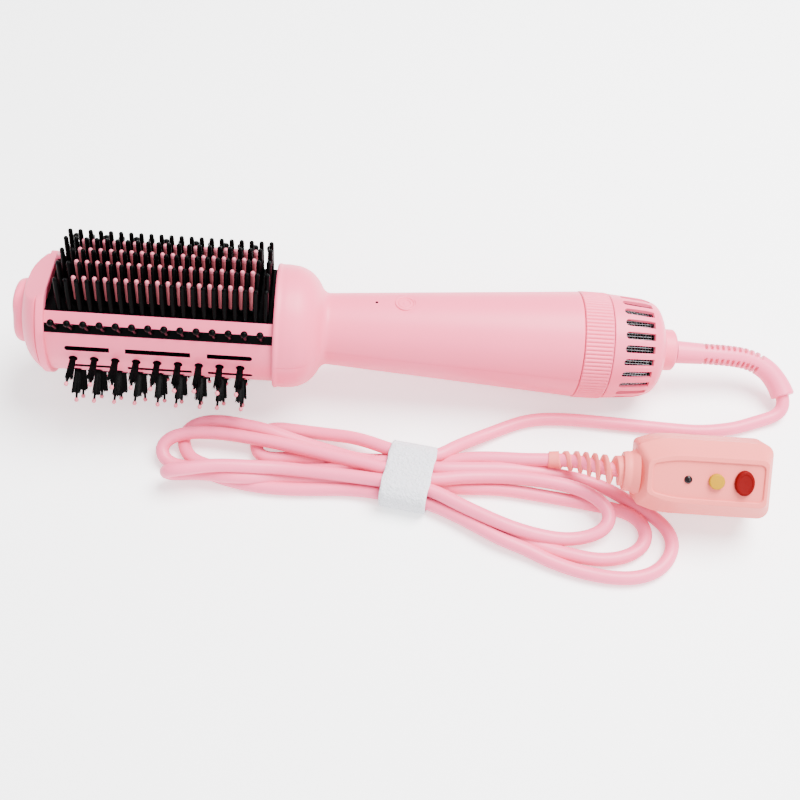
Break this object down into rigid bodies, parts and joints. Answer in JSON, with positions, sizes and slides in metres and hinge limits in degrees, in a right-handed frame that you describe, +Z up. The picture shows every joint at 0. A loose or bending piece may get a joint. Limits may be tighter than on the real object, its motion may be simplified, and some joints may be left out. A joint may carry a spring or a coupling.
{
  "type": "hot air brush",
  "caption": "Handheld hot air brush: vented handle with button and turning ring, round head with heated comb, air slots and tufts, swivel cord in a tied hank, protected plug.",
  "frame": {"origin": "on the surface that the brush lies on, under the middle of the brush without its cord", "axes": "+X from the nose of the brush head towards the cord end, +Z up from the surface, comb side up; +Y away from the hank and plug"},
  "size_m": [0.3653, 0.1538, 0.0864],
  "materials": {
    "shell_pink": "satin moulded plastic, soft sheen",
    "comb_pink": "ceramic-coated teeth, satin",
    "bristle_black": "moulded nylon, slight sheen",
    "trim_black": "moulded plastic, satin",
    "cord_pink": "soft cable jacket, satin",
    "plug_pink": "moulded plastic, warmer pink, satin",
    "strap_white": "brushed loop fabric",
    "steel": "plain steel",
    "copper": "enamelled copper winding",
    "mica_board": "pressed mica sheet",
    "heater_plate": "insulated heater plate",
    "circuit_board": "solder mask",
    "lamp_lens": "dark tinted lens",
    "button_yellow": "gloss moulded plastic",
    "button_red": "gloss moulded plastic"
  },
  "bodies": {
    "brush": {"nose_knob": "shell_pink", "end_cap": "shell_pink", "brush_barrel": "shell_pink", "comb_cover": "bristle_black", "heated_comb": "comb_pink", "front_guide_strip": "bristle_black", "rear_guide_strip": "bristle_black", "tuft_row_1": "bristle_black", "tuft_row_2": "bristle_black", "tuft_row_3": "bristle_black", "tuft_row_4": "bristle_black", "tuft_row_5": "bristle_black", "tuft_row_6": "bristle_black", "tuft_row_7": "bristle_black", "comb_heater": "heater_plate", "heater_frame": "mica_board", "heater_coil": "steel", "thermostat": "steel", "thermal_fuse": "steel", "handle_front_shell": "shell_pink", "handle_rear_shell": "shell_pink", "button_bezel": "shell_pink", "indicator_lens": "lamp_lens", "control_board": "circuit_board", "board_screw_1": "steel", "board_screw_2": "steel", "button_switch": "trim_black", "tail_sleeve": "shell_pink", "inlet_cover": "shell_pink", "inlet_filter": "steel", "motor": "steel", "motor_mount": "trim_black"},
    "rotor": {"rotor_shaft": "steel", "fan_impeller": "trim_black"},
    "power_button": {"power_button": "shell_pink"},
    "control_ring": {"control_ring": "shell_pink"},
    "cord": {"swivel_bush": "trim_black", "cord_boot": "cord_pink", "cord_lead": "cord_pink", "cord_hank": "cord_pink", "hank_strap": "strap_white", "cord_tail": "cord_pink", "plug_sleeve": "plug_pink", "plug_neck": "plug_pink", "plug_top": "plug_pink", "plug_bottom": "plug_pink", "plug_blade_1": "steel", "plug_blade_2": "steel", "plug_board": "circuit_board", "trip_coil": "copper", "plug_lens": "lamp_lens"},
    "test_button": {"test_button": "button_yellow"},
    "reset_button": {"reset_button": "button_red"}
  },
  "joints": [
    {"name": "rotor_spin", "type": "hinge", "parent": "brush", "child": "rotor", "pos_m": [0.08822, 0.00078, 0.02817], "axis": [0.9959, 0, -0.0906], "continuous": true},
    {"name": "power_button_press", "type": "slide", "parent": "brush", "child": "power_button", "axis": [-0.0895, -0.1564, -0.9836], "range_m": [0, 0.0008], "stiffness_N_per_m": 400, "springref_m": -0.0005},
    {"name": "control_ring_turn", "type": "hinge", "parent": "brush", "child": "control_ring", "pos_m": [0.11392, 0.00078, 0.02583], "axis": [0.9959, 0, -0.0906], "range_deg": [0, 90]},
    {"name": "cord_swivel", "type": "hinge", "parent": "brush", "child": "cord", "pos_m": [0.14997, 0.00078, 0.02255], "axis": [0.9959, 0, -0.0906], "continuous": true},
    {"name": "test_button_press", "type": "slide", "parent": "cord", "child": "test_button", "axis": [0.0455, 0.6676, -0.7431], "range_m": [0, 0.0012], "stiffness_N_per_m": 400, "springref_m": -0.0005},
    {"name": "reset_button_press", "type": "slide", "parent": "cord", "child": "reset_button", "axis": [0.0455, 0.6676, -0.7431], "range_m": [0, 0.0015], "stiffness_N_per_m": 400, "springref_m": -0.0005}
  ]
}
